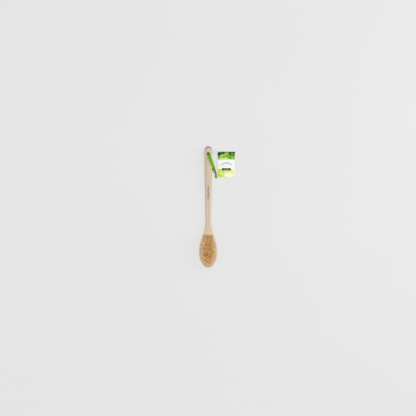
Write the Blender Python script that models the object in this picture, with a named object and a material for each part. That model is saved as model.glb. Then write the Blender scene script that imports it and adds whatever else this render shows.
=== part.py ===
"""A long-handled body brush: wooden body, tufts of plant fibre, ribbon loop, card tag on a string.

The brush lies on its flat back with the bristles up. +Y runs from the head's tip to the handle's
end, +Z is up, and +X is the right-hand side seen from above. The origin is on the surface that the
brush rests on, below the middle of its length. All lengths are in metres and angles in radians.
"""

import math

import bmesh
import bpy
import numpy as np
from mathutils import Matrix, Vector

MM = 0.001
GAP = 0.3 * MM

# Brush body
LENGTH = 400 * MM
HEAD_LENGTH = 52 * MM
HEAD_HALF_WIDTH = 30 * MM
NECK_AT = 150 * MM
NECK_HALF_WIDTH = 9.2 * MM
GRIP_FULL_AT = 372 * MM
GRIP_HALF_WIDTH = 13.25 * MM
END_LENGTH = 17 * MM
HEAD_THICKNESS = 15 * MM
GRIP_THICKNESS = 12.6 * MM
THINS_FROM = 90 * MM
THINS_TO = 165 * MM
LIFT = 6 * MM
LIFT_FROM = 200 * MM
LIFT_TO = 350 * MM
EDGE_ROUNDING = 6.5 * MM

# Hole for the ribbon and the string
LOOP_HOLE_AT = 376 * MM
LOOP_HOLE_RADIUS = 5 * MM
LOOP_HOLE_CHAMFER = 1.2 * MM

# Bristle field: the tips stand wider apart than the holes, so the outer tufts lean out
ROWS = 15
FIRST_ROW_AT = 14.2 * MM
ROW_PITCH = 6.6 * MM
TUFT_PITCH_MIN, TUFT_PITCH_MAX = 4.9 * MM, 6.6 * MM
ROWS_DRAWN_IN = 0.94
TUFTS_DRAWN_IN = 0.90
RIM_AT_TIP = 6.4 * MM
RIM_AT_NECK = 1.5 * MM
FIRST_ROW_DRAWN_IN = 3.2 * MM
BRISTLE_HEIGHT = 20 * MM
TUFT_HOLE_DEPTH = 9 * MM
TUFT_HOLE_RADIUS = 2.0 * MM
TUFT_ROOT_RADIUS = 1.65 * MM
TUFT_TIP_RADIUS = 3.15 * MM
TUFT_TIP_SPREAD = 1.12
TUFT_SIDES = 8

# Ribbon loop: distance from the hole's axis towards the knot, shift to the left (-) or right of
# that line, height, width, roll in degrees, slant of the fold into the hole.
# It runs from the knot over the handle, down the hole and back below the handle to the knot.
RIBBON_THICKNESS = 1.0 * MM
RIBBON_HEADING = math.radians(-68.8)
RIBBON_ROUTE = [
    (62.0, 0.0, 4.4, 6.6, 0, 0.0),
    (55.0, 0.0, 6.4, 8.2, 10, 0.0),
    (48.0, 0.0, 10.8, 9.6, 22, 0.0),
    (42.0, 0.0, 15.7, 10.0, 24, 0.0),
    (36.5, 0.0, 18.5, 10.0, 16, 0.0),
    (30.0, 0.0, 20.2, 10.0, 8, 0.0),
    (22.0, 0.0, 20.8, 10.0, 0, 0.0),
    (13.0, 0.0, 20.9, 10.0, 0, 0.0),
    (8.0, 0.0, 20.6, 10.0, 0, 0.15),
    (3.2, -0.3, 20.2, 9.2, 0, 0.4),
    (0.6, -0.6, 20.1, 8.0, 0, 0.55),
    (-1.3, -0.85, 19.4, 6.9, 0, 0.6),
    (-1.95, -0.9, 17.6, 6.3, 0, 0.6),
    (-2.0, -0.9, 12.3, 6.2, 0, 0.6),
    (-1.95, -0.9, 7.0, 6.3, 0, 0.6),
    (-1.3, -0.85, 5.0, 6.9, 0, 0.6),
    (0.6, -0.6, 4.15, 8.0, 0, 0.55),
    (3.2, -0.3, 4.0, 9.2, 0, 0.4),
    (8.0, 0.0, 3.7, 10.0, 0, 0.15),
    (14.0, 0.0, 2.9, 10.0, 0, 0.0),
    (24.0, 0.0, 1.5, 10.0, 0, 0.0),
    (34.0, 0.0, 0.9, 10.0, 0, 0.0),
    (46.0, 0.0, 0.9, 9.6, 0, 0.0),
    (55.0, 0.0, 1.2, 8.2, 0, 0.0),
    (62.0, 0.0, 1.9, 6.6, 0, 0.0),
]
KNOT_FROM_HOLE = 66.5 * MM
KNOT_HALF_SIZE = (4.2 * MM, 3.4 * MM, 3.0 * MM)
KNOT_HEIGHT = 3.3 * MM

# Ribbon tails: X, distance from the head's tip, height and width, all in millimetres
TAIL_FRONT_ROUTE = [
    (25.3, 309.2, 3.0, 4.6),
    (25.0, 304.5, 2.6, 5.4),
    (25.7, 299.5, 2.3, 5.4),
    (27.6, 294.8, 2.1, 4.8),
]
TAIL_BACK_ROUTE = [
    (24.6, 309.2, 1.3, 4.4),
    (23.6, 304.5, 0.95, 5.0),
    (23.4, 300.5, 0.9, 5.0),
    (24.3, 296.6, 0.9, 4.6),
]

# Tag and string: X, distance from the head's tip and height, in millimetres
STRING_RADIUS = 0.45 * MM
STRING_KNOT_RADIUS = 1.1 * MM
STRING_ROUTE = [
    (0.0, 376.0, 13.8),
    (0.0, 376.0, 15.4),
    (0.1, 376.0, 16.8),
    (1.2, 376.0, 17.8),
    (3.2, 376.0, 18.4),
    (5.7, 376.3, 18.95),
    (8.2, 377.5, 19.3),
    (12.0, 380.3, 19.4),
    (16.0, 383.4, 19.35),
    (19.3, 385.2, 18.4),
    (22.6, 385.6, 15.4),
    (25.8, 384.6, 11.0),
    (28.8, 383.0, 7.0),
    (31.4, 381.4, 4.5),
    (33.8, 380.1, 3.6),
    (35.2, 379.3, 1.9),
    (36.6, 377.9, 0.8),
    (35.4, 376.8, 0.75),
    (32.0, 376.7, 0.75),
    (26.0, 376.9, 0.75),
    (18.0, 377.0, 1.0),
    (12.5, 376.9, 2.4),
    (9.2, 376.6, 4.2),
    (6.6, 376.35, 5.2),
    (4.2, 376.15, 5.7),
    (1.8, 376.0, 6.3),
    (0.3, 376.0, 7.6),
    (0.0, 376.0, 9.2),
    (0.0, 376.0, 10.8),
]
TAG_HOLE = (35.3 * MM, 379.3 * MM)
TAG_HOLE_RADIUS = 1.4 * MM
TAG_HEIGHT_AT_HOLE = 1.85 * MM
TAG_THICKNESS = 0.6 * MM
TAG_TILT = math.radians(0.66)
TAG_LEFT = 30.9 * MM
TAG_TOP = 382.9 * MM
TAG_WIDTH = 57.8 * MM
TAG_HEIGHT = 83.5 * MM
TAG_WAIST_IN = 1.6 * MM
TAG_WAIST_BELOW_TOP = 26 * MM

WOOD = ("bamboo_wood", (0.61, 0.47, 0.33), 0.55)
BRISTLE = ("plant_fibre", (0.52, 0.29, 0.10), 0.75)
RIBBON = ("green_ribbon", (0.16, 0.42, 0.01), 0.55)
STRING = ("white_string", (0.72, 0.72, 0.69), 0.80)
CARD = ("printed_card", (0.83, 0.86, 0.78), 0.60)


def ease(t):
    """A smooth step from 0 to 1 with level ends."""
    return (1 - math.cos(math.pi * min(max(t, 0.0), 1.0))) / 2


def half_width(s):
    """Half the body's width at distance s from the head's tip."""
    if s < HEAD_LENGTH:
        t = (HEAD_LENGTH - s) / HEAD_LENGTH
        return HEAD_HALF_WIDTH * math.sqrt(max(0.0, 1 - t * t))
    if s < NECK_AT:
        t = (s - HEAD_LENGTH) / (NECK_AT - HEAD_LENGTH)
        return HEAD_HALF_WIDTH + (NECK_HALF_WIDTH - HEAD_HALF_WIDTH) * ease(t)
    if s < GRIP_FULL_AT:
        t = (s - NECK_AT) / (GRIP_FULL_AT - NECK_AT)
        return NECK_HALF_WIDTH + (GRIP_HALF_WIDTH - NECK_HALF_WIDTH) * t**1.2
    t = max(0.0, s - (LENGTH - END_LENGTH)) / END_LENGTH
    return GRIP_HALF_WIDTH * math.sqrt(max(0.0, 1 - t * t))


def thickness(s):
    """The body's thickness at distance s from the head's tip."""
    t = (s - THINS_FROM) / (THINS_TO - THINS_FROM)
    return HEAD_THICKNESS + (GRIP_THICKNESS - HEAD_THICKNESS) * ease(t)


def back_height(s):
    """How high the body's back is above the surface that the head lies on."""
    return LIFT * ease((s - LIFT_FROM) / (LIFT_TO - LIFT_FROM))


def place(x, s, z):
    """The point at x across, s from the head's tip and z up."""
    return Vector((x, s - LENGTH / 2, z))


def outline():
    """The right half of the body's outline as points (x, s), from the head's tip to the end."""
    tip = [HEAD_LENGTH * (1 - math.cos(math.radians(a))) for a in range(0, 90, 9)]
    neck = np.linspace(HEAD_LENGTH, NECK_AT, 10, endpoint=False)
    grip = np.linspace(NECK_AT, GRIP_FULL_AT, 12)
    end = [LENGTH - END_LENGTH * (1 - math.sin(math.radians(a))) for a in range(0, 91, 15)]
    return [Vector((half_width(s), s)) for s in [*tip, *neck, *grip, *end]]


def inset(points, amount):
    """The half outline moved inwards by amount, with its two end points kept on the axis."""
    moved = []
    for i, point in enumerate(points):
        before = points[i - 1] if i else Vector((-points[1].x, points[1].y))
        after = points[i + 1] if i + 1 < len(points) else Vector((-points[-2].x, points[-2].y))
        along = (after - before).normalized()
        moved.append(point + amount * Vector((-along.y, along.x)))
    return moved


def material(look):
    """A Principled material from its name, linear colour and roughness."""
    name, colour, roughness = look
    made = bpy.data.materials.get(name) or bpy.data.materials.new(name)
    made.use_nodes = True
    shader = made.node_tree.nodes["Principled BSDF"]
    shader.inputs["Base Color"].default_value = (*colour, 1.0)
    shader.inputs["Roughness"].default_value = roughness
    shader.inputs["Metallic"].default_value = 0.0
    return made


def add_object(name, bm, look, smooth_angle=35):
    """A scene object from a bmesh, with its normals out and its material set."""
    bmesh.ops.recalc_face_normals(bm, faces=bm.faces)
    mesh = bpy.data.meshes.new(name)
    bm.to_mesh(mesh)
    bm.free()
    mesh.materials.append(material(look))
    mesh.shade_smooth()
    mesh.set_sharp_from_angle(angle=math.radians(smooth_angle))
    made = bpy.data.objects.new(name, mesh)
    bpy.context.scene.collection.objects.link(made)
    return made


def combine(target, tool, operation):
    """Cut the tool out of the target, or join it on, and remove the tool."""
    step = target.modifiers.new(operation.lower(), "BOOLEAN")
    step.operation = operation
    step.solver = "EXACT"
    step.object = tool
    bpy.context.view_layer.update()
    seen = target.evaluated_get(bpy.context.evaluated_depsgraph_get())
    mesh = bpy.data.meshes.new_from_object(seen)
    target.modifiers.remove(step)
    target.data = mesh
    bpy.data.objects.remove(tool)


def add_rings(bm, rings):
    """A closed skin through rings with equal numbers of points, with a flat cap at each end."""
    loops = [[bm.verts.new(point) for point in ring] for ring in rings]
    for low, high in zip(loops, loops[1:]):
        for i in range(len(low)):
            bm.faces.new((low[i - 1], low[i], high[i], high[i - 1]))
    bm.faces.new(loops[0])
    bm.faces.new(loops[-1])


def circle(centre, radius, sides, across=1.0):
    """Points of a level circle, stretched in X by across."""
    turns = [math.tau * i / sides for i in range(sides)]
    return [
        centre + Vector((radius * across * math.cos(a), radius * math.sin(a), 0)) for a in turns
    ]


def smooth_route(points, spacing):
    """Evenly spaced points on a smooth curve through the given points, in any number of values.

    The spacing is measured on the first values up to three, which are the place.
    """
    knots = [np.array(p, float) for p in points]
    knots = [2 * knots[0] - knots[1], *knots, 2 * knots[-1] - knots[-2]]
    fine = []
    for a, b, c, d in zip(knots, knots[1:], knots[2:], knots[3:]):
        for t in np.linspace(0, 1, 24, endpoint=False):
            slope = (c - a) * t + (2 * a - 5 * b + 4 * c - d) * t**2 + (3 * b - a - 3 * c + d) * t**3
            fine.append(b + slope / 2)
    fine.append(knots[-2])
    fine = np.array(fine)
    steps = np.linalg.norm(np.diff(fine[:, :3], axis=0), axis=1)
    run = np.concatenate([[0], np.cumsum(steps)])
    wanted = np.linspace(0, run[-1], max(2, round(run[-1] / spacing)) + 1)
    return np.column_stack([np.interp(wanted, run, column) for column in fine.T])


def tufts():
    """Each row's tufts, as pairs of (x, s) for the hole and for the tips. A row's tufts are evenly
    spread between the rims, odd and even in number by turns so that neighbouring rows interlock."""
    middle = FIRST_ROW_AT + ROW_PITCH * (ROWS - 1) / 2
    rows = []
    for row in range(ROWS):
        s = FIRST_ROW_AT + ROW_PITCH * row
        rim = RIM_AT_TIP + (RIM_AT_NECK - RIM_AT_TIP) * ease(row / (ROWS - 1) * 2 - 1)
        slope = (half_width(s + MM) - half_width(s - MM)) / (2 * MM)
        room = half_width(s) - (rim + TUFT_TIP_RADIUS) * math.hypot(1, slope)
        room -= 0 if row else FIRST_ROW_DRAWN_IN
        fits = [n for n in range(3, 12) if TUFT_PITCH_MIN <= 2 * room / (n - 1) <= TUFT_PITCH_MAX]
        count = next((n for n in fits if (n + row) % 2), fits[0])
        hole_s = middle + (s - middle) * ROWS_DRAWN_IN
        places = [room * (2 * i / (count - 1) - 1) for i in range(count)]
        rows.append([((x * TUFTS_DRAWN_IN, hole_s), (x, s)) for x in places])
    return rows


def build_body(rows):
    """The wooden head and handle in one piece, with its tuft holes and its loop hole."""
    right = outline()
    bm = bmesh.new()
    layers = []
    for angle in range(-90, 91, 18):
        a = math.radians(angle)
        half = inset(right, EDGE_ROUNDING * (1 - math.cos(a)))
        loop = half + [Vector((-p.x, p.y)) for p in half[-2:0:-1]]
        layer = []
        for point in loop:
            z = back_height(point.y) + thickness(point.y) * (1 + math.sin(a)) / 2
            layer.append(bm.verts.new(place(point.x, point.y, z)))
        layers.append(layer)
    count = len(layers[0])
    for low, high in zip(layers, layers[1:]):
        for i in range(count):
            bm.faces.new((low[i - 1], low[i], high[i], high[i - 1]))
    for layer in (layers[0], layers[-1]):
        last = len(right) - 1
        bm.faces.new((layer[0], layer[1], layer[-1]))
        for i in range(1, last - 1):
            bm.faces.new((layer[i], layer[i + 1], layer[-i - 1], layer[-i]))
        bm.faces.new((layer[last - 1], layer[last], layer[last + 1]))
    body = add_object("brush_body", bm, WOOD)
    combine(body, tuft_hole_cutter(rows), "DIFFERENCE")
    combine(body, loop_hole_cutter(), "DIFFERENCE")
    return body


def tuft_hole_cutter(rows):
    """One upright prism for each tuft hole, reaching out past the head's face."""
    bm = bmesh.new()
    floor = HEAD_THICKNESS - TUFT_HOLE_DEPTH
    for row in rows:
        for (x, s), _ in row:
            ends = [place(x, s, z) for z in (floor, HEAD_THICKNESS + MM)]
            add_rings(bm, [circle(end, TUFT_HOLE_RADIUS, TUFT_SIDES) for end in ends])
    return add_object("tuft_hole_cutter", bm, WOOD)


def loop_hole_cutter():
    """A shaft through the handle that opens out at both faces."""
    back = back_height(LOOP_HOLE_AT)
    front = back + thickness(LOOP_HOLE_AT)
    wide = LOOP_HOLE_RADIUS + LOOP_HOLE_CHAMFER
    profile = [
        (wide + MM, back - MM),
        (LOOP_HOLE_RADIUS, back + LOOP_HOLE_CHAMFER),
        (LOOP_HOLE_RADIUS, front - LOOP_HOLE_CHAMFER),
        (wide + MM, front + MM),
    ]
    bm = bmesh.new()
    add_rings(bm, [circle(place(0, LOOP_HOLE_AT, z), radius, 24) for radius, z in profile])
    return add_object("loop_hole_cutter", bm, WOOD)


def tuft_rings(hole, tips):
    """A tuft's outline: straight in its hole, then spreading up to its trimmed tips."""
    root = place(*hole, HEAD_THICKNESS - TUFT_HOLE_DEPTH + GAP)
    mouth = place(*hole, HEAD_THICKNESS)
    top = place(*tips, HEAD_THICKNESS + BRISTLE_HEIGHT)
    return [
        circle(root, TUFT_ROOT_RADIUS, TUFT_SIDES),
        circle(mouth, TUFT_ROOT_RADIUS, TUFT_SIDES),
        circle(top, TUFT_TIP_RADIUS, TUFT_SIDES, TUFT_TIP_SPREAD),
    ]


def build_bristle_row(number, row):
    """One row of tufts, whose spread tips run into each other."""
    halves = []
    for start in (0, 1):
        bm = bmesh.new()
        for hole, tips in row[start::2]:
            add_rings(bm, tuft_rings(hole, tips))
        halves.append(add_object(f"bristle_row_{number:02d}", bm, BRISTLE))
    combine(halves[0], halves[1], "UNION")
    halves[0].name = f"bristle_row_{number:02d}"
    return halves[0]


def strip(name, stations, headings, look):
    """A flat ribbon through stations of (centre, width, roll), facing across its headings."""
    bm = bmesh.new()
    rings = []
    for (centre, width, roll), (along, side) in zip(stations, headings):
        side = Matrix.Rotation(roll, 3, along) @ side
        up = side.cross(along).normalized()
        reach, half = side * width / 2, up * RIBBON_THICKNESS / 2
        rings.append(
            [centre - reach - half, centre + reach - half, centre + reach + half, centre - reach + half]
        )
    add_rings(bm, rings)
    return add_object(name, bm, look)


def directions(centres):
    """The direction of travel at each of a route's points."""
    around = [centres[0], *centres, centres[-1]]
    return [(after - before).normalized() for before, after in zip(around, around[2:])]


def build_hang_ribbon():
    """The loop's ribbon, from the knot through the handle's hole and back to the knot."""
    up = Vector((0, 0, 1))
    out = Vector((math.cos(RIBBON_HEADING), math.sin(RIBBON_HEADING), 0))
    side = up.cross(out)
    placed = []
    for distance, shift, height, width, roll, slant in RIBBON_ROUTE:
        centre = place(0, LOOP_HOLE_AT, 0) + (out * distance + side * shift + up * height) * MM
        placed.append((*centre, width * MM, math.radians(roll), slant))
    route = smooth_route(placed, 2.2 * MM)
    centres = [Vector(p[:3]) for p in route]
    stations = [(c, p[3], p[4]) for c, p in zip(centres, route)]
    headings = [(along, side - out * p[5]) for along, p in zip(directions(centres), route)]
    return strip("hang_ribbon", stations, headings, RIBBON)


def build_tail(name, route):
    """A free end of the ribbon beyond the knot, flat on the surface."""
    placed = [(*place(x * MM, s * MM, z * MM), w * MM) for x, s, z, w in route]
    points = smooth_route(placed, 2.2 * MM)
    centres = [Vector(p[:3]) for p in points]
    stations = [(c, p[3], 0.0) for c, p in zip(centres, points)]
    up = Vector((0, 0, 1))
    headings = [(along, up.cross(along).normalized()) for along in directions(centres)]
    return strip(name, stations, headings, RIBBON)


def build_ribbon_knot():
    """The knot that closes the ribbon loop."""
    out = Vector((math.cos(RIBBON_HEADING), math.sin(RIBBON_HEADING), 0))
    centre = place(0, LOOP_HOLE_AT, KNOT_HEIGHT) + out * KNOT_FROM_HOLE
    bm = bmesh.new()
    bmesh.ops.create_uvsphere(bm, u_segments=16, v_segments=10, radius=1.0)
    turn = Matrix.Rotation(RIBBON_HEADING, 4, "Z")
    bm.transform(Matrix.Translation(centre) @ turn @ Matrix.Diagonal((*KNOT_HALF_SIZE, 1.0)))
    return add_object("ribbon_knot", bm, RIBBON)


def build_tag_string():
    """The tag's string: out of the hole's front, through the tag and back in behind."""
    placed = [place(x * MM, s * MM, z * MM) for x, s, z in STRING_ROUTE]
    points = smooth_route(placed, 2.0 * MM)
    curve = bpy.data.curves.new("tag_string", "CURVE")
    curve.dimensions = "3D"
    curve.bevel_depth = STRING_RADIUS
    curve.bevel_resolution = 2
    curve.use_fill_caps = True
    spline = curve.splines.new("POLY")
    spline.points.add(len(points) - 1)
    for target, point in zip(spline.points, points):
        target.co = (*point, 1.0)
    curve.materials.append(material(STRING))
    made = bpy.data.objects.new("tag_string", curve)
    bpy.context.scene.collection.objects.link(made)
    return made


def build_string_knot():
    """The string's own knot, halfway down the handle's hole."""
    middle = back_height(LOOP_HOLE_AT) + thickness(LOOP_HOLE_AT) / 2
    bm = bmesh.new()
    bmesh.ops.create_uvsphere(bm, u_segments=12, v_segments=8, radius=STRING_KNOT_RADIUS)
    bm.transform(Matrix.Translation(place(0, LOOP_HOLE_AT, middle)))
    return add_object("string_knot", bm, STRING)


def build_tag_card():
    """The waisted card, tilted a little because its corner lies on the string."""
    waist = TAG_TOP - TAG_WAIST_BELOW_TOP
    right = TAG_LEFT + TAG_WIDTH
    corners = [
        (TAG_LEFT, TAG_TOP),
        (TAG_LEFT + TAG_WAIST_IN, waist),
        (TAG_LEFT, TAG_TOP - TAG_HEIGHT),
        (right, TAG_TOP - TAG_HEIGHT),
        (right - TAG_WAIST_IN, waist),
        (right, TAG_TOP),
    ]
    bm = bmesh.new()
    hole_x, hole_s = TAG_HOLE
    flat = [[Vector((x - hole_x, s - hole_s, z)) for x, s in corners] for z in (0, TAG_THICKNESS)]
    add_rings(bm, flat)
    card = add_object("tag_card", bm, CARD)
    bm = bmesh.new()
    ends = [Vector((0, 0, z)) for z in (-MM, TAG_THICKNESS + MM)]
    add_rings(bm, [circle(end, TAG_HOLE_RADIUS, 16) for end in ends])
    combine(card, add_object("tag_hole_cutter", bm, CARD), "DIFFERENCE")
    lean = Matrix.Rotation(TAG_TILT, 4, Vector((0.82, 0.57, 0)))
    base = Vector((0, 0, TAG_THICKNESS / 2))
    card.data.transform(lean @ Matrix.Translation(-base))
    card.location = place(hole_x, hole_s, TAG_HEIGHT_AT_HOLE)
    return card


def set_origin(made, point):
    """Move an object's origin to a point without moving its shape."""
    shift = point - made.location
    made.data.transform(Matrix.Translation(-shift))
    made.location = point


def main():
    for old in list(bpy.data.objects):
        bpy.data.objects.remove(old)
    rows = tufts()
    build_body(rows)
    for number, row in enumerate(rows, start=1):
        build_bristle_row(number, row)
    pivot = place(0, LOOP_HOLE_AT, 0)
    swinging = [
        build_hang_ribbon(),
        build_ribbon_knot(),
        build_tail("ribbon_tail_front", TAIL_FRONT_ROUTE),
        build_tail("ribbon_tail_back", TAIL_BACK_ROUTE),
        build_tag_string(),
        build_string_knot(),
    ]
    for made in swinging:
        set_origin(made, pivot)
    build_tag_card()


main()
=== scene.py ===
"""The finished look of a long-handled body brush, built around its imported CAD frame.

Millimetres are used for the named sizes below, and MM turns them into metres. +Y runs from the
head's tip to the handle's end, +Z is up, and a place along the brush is given as its distance s
from the head's tip.
"""

from math import atan2, cos, degrees, hypot, pi, radians, sin, sqrt, tau

import bmesh
import bpy
import numpy as np
from mathutils import Matrix, Vector


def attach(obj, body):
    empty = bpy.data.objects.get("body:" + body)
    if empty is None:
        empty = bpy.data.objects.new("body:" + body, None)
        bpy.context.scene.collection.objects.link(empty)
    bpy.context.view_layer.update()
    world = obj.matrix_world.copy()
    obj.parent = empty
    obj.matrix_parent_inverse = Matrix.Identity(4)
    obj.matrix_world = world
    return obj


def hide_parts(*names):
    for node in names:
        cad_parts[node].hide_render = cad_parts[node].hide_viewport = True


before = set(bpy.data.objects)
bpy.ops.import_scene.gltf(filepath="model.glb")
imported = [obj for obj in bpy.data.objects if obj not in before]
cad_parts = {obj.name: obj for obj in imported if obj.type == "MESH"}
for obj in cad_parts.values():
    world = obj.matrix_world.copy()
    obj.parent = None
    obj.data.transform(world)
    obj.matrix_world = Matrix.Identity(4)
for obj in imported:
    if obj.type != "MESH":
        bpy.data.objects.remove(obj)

MM = 0.001
UP = Vector((0, 0, 1))
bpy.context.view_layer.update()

# The brush body, as in the CAD
LENGTH = 400
HEAD_LENGTH = 52
HEAD_HALF_WIDTH = 30
NECK_AT = 150
NECK_HALF_WIDTH = 9.2
GRIP_FULL_AT = 372
GRIP_HALF_WIDTH = 13.25
END_LENGTH = 17
HEAD_THICKNESS = 15
GRIP_THICKNESS = 12.6
THINS_FROM, THINS_TO = 90, 165
LIFT, LIFT_FROM, LIFT_TO = 6, 200, 350
EDGE_ROUNDING = 6.5
LOOP_HOLE_AT = 376
LOOP_HOLE_RADIUS = 5
LOOP_HOLE_CHAMFER = 1.2

# The bristle field, as in the CAD
ROWS = 15
FIRST_ROW_AT = 14.2
ROW_PITCH = 6.6
TUFT_PITCH_MIN, TUFT_PITCH_MAX = 4.9, 6.6
ROWS_DRAWN_IN = 0.94
TUFTS_DRAWN_IN = 0.90
RIM_AT_TIP, RIM_AT_NECK = 6.4, 1.5
FIRST_ROW_DRAWN_IN = 3.2
BRISTLE_HEIGHT = 20
TUFT_HOLE_DEPTH = 9
TUFT_HOLE_RADIUS = 2.0
TUFT_ROOT_RADIUS = 1.7
TUFT_TIP_RADIUS = 3.15

# The fibres of one tuft: sizes, then how much fibres and tufts differ, as standard deviations
FIBRES_IN_TUFT = 150
FIBRE_RADIUS = 0.24
FIBRE_TIP_RADIUS = 0.38
FIBRE_SIDES = 3
FIBRE_LEVELS = (-8.2, -0.5, 5.0, 12.5, BRISTLE_HEIGHT)
FIBRE_SEED = 7
TIP_SPREAD = 0.5
SPLAY_POWER = 1.12
STRAY_SHARE, STRAY_REACH = 0.06, 1.25
TUFT_LEAN, FIBRE_LEAN = 0.25, 0.22
FIBRE_BEND = 0.30
TUFT_TRIM, FIBRE_TRIM = 0.12, 0.16
MEAN_TONE, TUFT_TONE, FIBRE_TONE = 0.31, 0.16, 0.2
# Painted highlight on the outer fibres and the first and last rows: its strength, its power across
# a row, and the end rows' share
OUTER_HIGHLIGHT, OUTER_HIGHLIGHT_POWER, END_ROW_HIGHLIGHT = 0.5, 2.5, 0.5

# The flat wire anchor of a tuft: its bent profile (across, up) and its section
ANCHOR_PROFILE = [(-1.9, 1.1), (-1.7, 0.2), (-0.9, -0.1), (0.9, -0.1), (1.7, 0.2), (1.9, 1.1)]
ANCHOR_HALF_WIDTH, ANCHOR_HALF_THICKNESS = 0.5, 0.12
ANCHOR_ABOVE_FLOOR = 1.1

# Ribbon loop: distance from the hole's axis towards the knot, shift to the left (-) or right of
# that line, height, width, roll in degrees, slant of the fold into the hole, arch, pleats
RIBBON_WIDTH = 10
RIBBON_THICKNESS = 0.5
RIBBON_HEM, RIBBON_HEM_FROM = 0.05, 0.9
RIBBON_RIB, RIBBON_RIB_PITCH = 0.06, 1.1
RIBBON_STEP = 0.275
RIBBON_POINTS_ACROSS = 33
PLEATS = 3
RIBBON_HEADING = radians(-68.8)
TOWARDS_KNOT = Vector((cos(RIBBON_HEADING), sin(RIBBON_HEADING), 0))
RIBBON_ROUTE = [
    (65, 0, 3.6, 3.2, 0, 0, 0, 0.45),
    (61.5, 0, 4.5, 5.2, 2, 0, 0.1, 0.60),
    (55, 0, 6.4, 8.2, 10, 0, 0.2, 0.40),
    (48, 0, 10.8, 9.6, 22, 0, 0.5, 0.15),
    (42, 0, 15.7, 10, 24, 0, 0.6, 0.05),
    (36.5, 0, 18.5, 10, 16, 0, 0.5, 0),
    (30, 0, 20.2, 10, 8, 0, 0.3, 0),
    (22, 0, 20.8, 10, 0, 0, 0.2, 0),
    (13, 0, 20.9, 10, 0, 0, 0.2, 0),
    (8, 0, 20.6, 10, 0, 0.15, 0.2, 0.05),
    (3.2, -0.3, 20.2, 9.2, 0, 0.4, 0.2, 0.10),
    (0.6, -0.6, 20.1, 8, 0, 0.55, 0.1, 0.15),
    (-1.3, -0.85, 19.4, 6.9, 0, 0.6, 0, 0.18),
    (-1.95, -0.9, 17.6, 6.3, 0, 0.6, -0.3, 0.20),
    (-2, -0.9, 12.3, 6.2, 0, 0.6, -0.4, 0.20),
    (-1.95, -0.9, 7, 6.3, 0, 0.6, -0.3, 0.20),
    (-1.3, -0.85, 5, 6.9, 0, 0.6, 0, 0.18),
    (0.6, -0.6, 4.15, 8, 0, 0.55, 0, 0.15),
    (3.2, -0.3, 4, 9.2, 0, 0.4, 0, 0.10),
    (8, 0, 3.7, 10, 0, 0.15, 0.1, 0.05),
    (14, 0, 2.9, 10, 0, 0, 0.2, 0),
    (24, 0, 1.5, 10, 0, 0, 0.2, 0),
    (34, 0, 0.9, 10, 0, 0, 0.2, 0),
    (46, 0, 0.9, 9.6, 0, 0, 0.2, 0.08),
    (55, 0, 1.2, 8.2, 0, 0, 0.2, 0.25),
    (61.5, 0, 1.9, 5.2, 0, 0, 0.1, 0.45),
    (65, 0, 2.6, 3.2, 0, 0, 0, 0.35),
]
KNOT_FROM_HOLE = 66.5
KNOT_HEIGHT = 3.3
RIBBON_KNOT_SIZE, RIBBON_KNOT_STRAND = (2.6, 2.0, 0.9), (1.7, 1.4)
STRING_KNOT_SIZE, STRING_KNOT_STRAND = (0.7, 0.7, 0.4), (0.35, 0.35)
KNOT_STEPS, KNOT_SIDES, KNOT_RUN = 132, 20, 0.3

# Ribbon tails: X, s, height, width
TAIL_FRONT_ROUTE = [
    (24.6, 312.4, 3.2, 3),
    (25.4, 309.2, 3, 3.8),
    (25.6, 304.5, 2.6, 4.6),
    (26.1, 299.5, 2.3, 4.6),
    (27.4, 294.8, 2.1, 4.2),
]
TAIL_BACK_ROUTE = [
    (24.2, 312.4, 2.2, 3),
    (24.9, 309.2, 1.4, 3.8),
    (24.6, 304.5, 0.95, 4.4),
    (24.7, 300.5, 0.9, 4.4),
    (25.6, 296.6, 0.9, 4.2),
]
TAIL_ARCH, TAIL_PLEAT = 0.3, 0.25
TAIL_FRONT_SLANT, TAIL_BACK_SLANT = 1.2, -1.0

# Tag string and card: X, s, height
STRING_RADIUS = 0.45
PLY_RADIUS = 0.55 * STRING_RADIUS
PLY_OFFSET = 0.8 * PLY_RADIUS
PLY_SIDES = 7
TWIST_PITCH = 2.6
STRING_STEP = 0.25
STRING_ROUTE = [
    (0, 376, 13.8),
    (0, 376, 15.4),
    (0.1, 376, 16.8),
    (1.2, 376, 17.8),
    (3.2, 376, 18.4),
    (5.7, 376.3, 18.95),
    (8.2, 377.5, 19.3),
    (12, 380.3, 19.4),
    (16, 383.4, 19.35),
    (19.3, 385.2, 18.4),
    (22.6, 385.6, 15.4),
    (25.8, 384.6, 11),
    (28.8, 383, 7),
    (31.4, 381.4, 4.5),
    (33.8, 380.1, 3.6),
    (35.2, 379.3, 1.9),
    (36.6, 377.9, 0.8),
    (35.4, 376.8, 0.75),
    (32, 376.7, 0.75),
    (26, 376.9, 0.75),
    (18, 377, 1),
    (12.5, 376.9, 2.4),
    (9.2, 376.6, 4.2),
    (6.6, 376.35, 5.2),
    (4.2, 376.15, 5.7),
    (1.8, 376, 6.3),
    (0.3, 376, 7.6),
    (0, 376, 9.2),
    (0, 376, 10.8),
]
TAG_HOLE_X, TAG_HOLE_S = 35.3, 379.3
TAG_HOLE_RADIUS = 1.4
TAG_HEIGHT_AT_HOLE = 1.85
TAG_THICKNESS = 0.5
TAG_TILT = radians(0.66)
TAG_LEFT, TAG_TOP = 30.9, 382.9
TAG_WIDTH, TAG_HEIGHT = 57.8, 83.5
TAG_WAIST_IN = 1.6
TAG_WAIST_BELOW_TOP = 26
TAG_BOW_ACROSS, TAG_BOW_UP = 0.9, 0.35
TAG_COLUMNS, TAG_ROWS = 40, 58

# The card's left edge, lower edge and printed middle, measured from its hole
CARD_LEFT = TAG_LEFT - TAG_HOLE_X
CARD_BOTTOM = TAG_TOP - TAG_HEIGHT - TAG_HOLE_S
CARD_MIDDLE = CARD_LEFT + TAG_WIDTH / 2 + 0.5

# Where the card's white panel starts and ends, as parts of its height
PANEL_BOTTOM, PANEL_TOP = 0.32, 0.678

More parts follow.
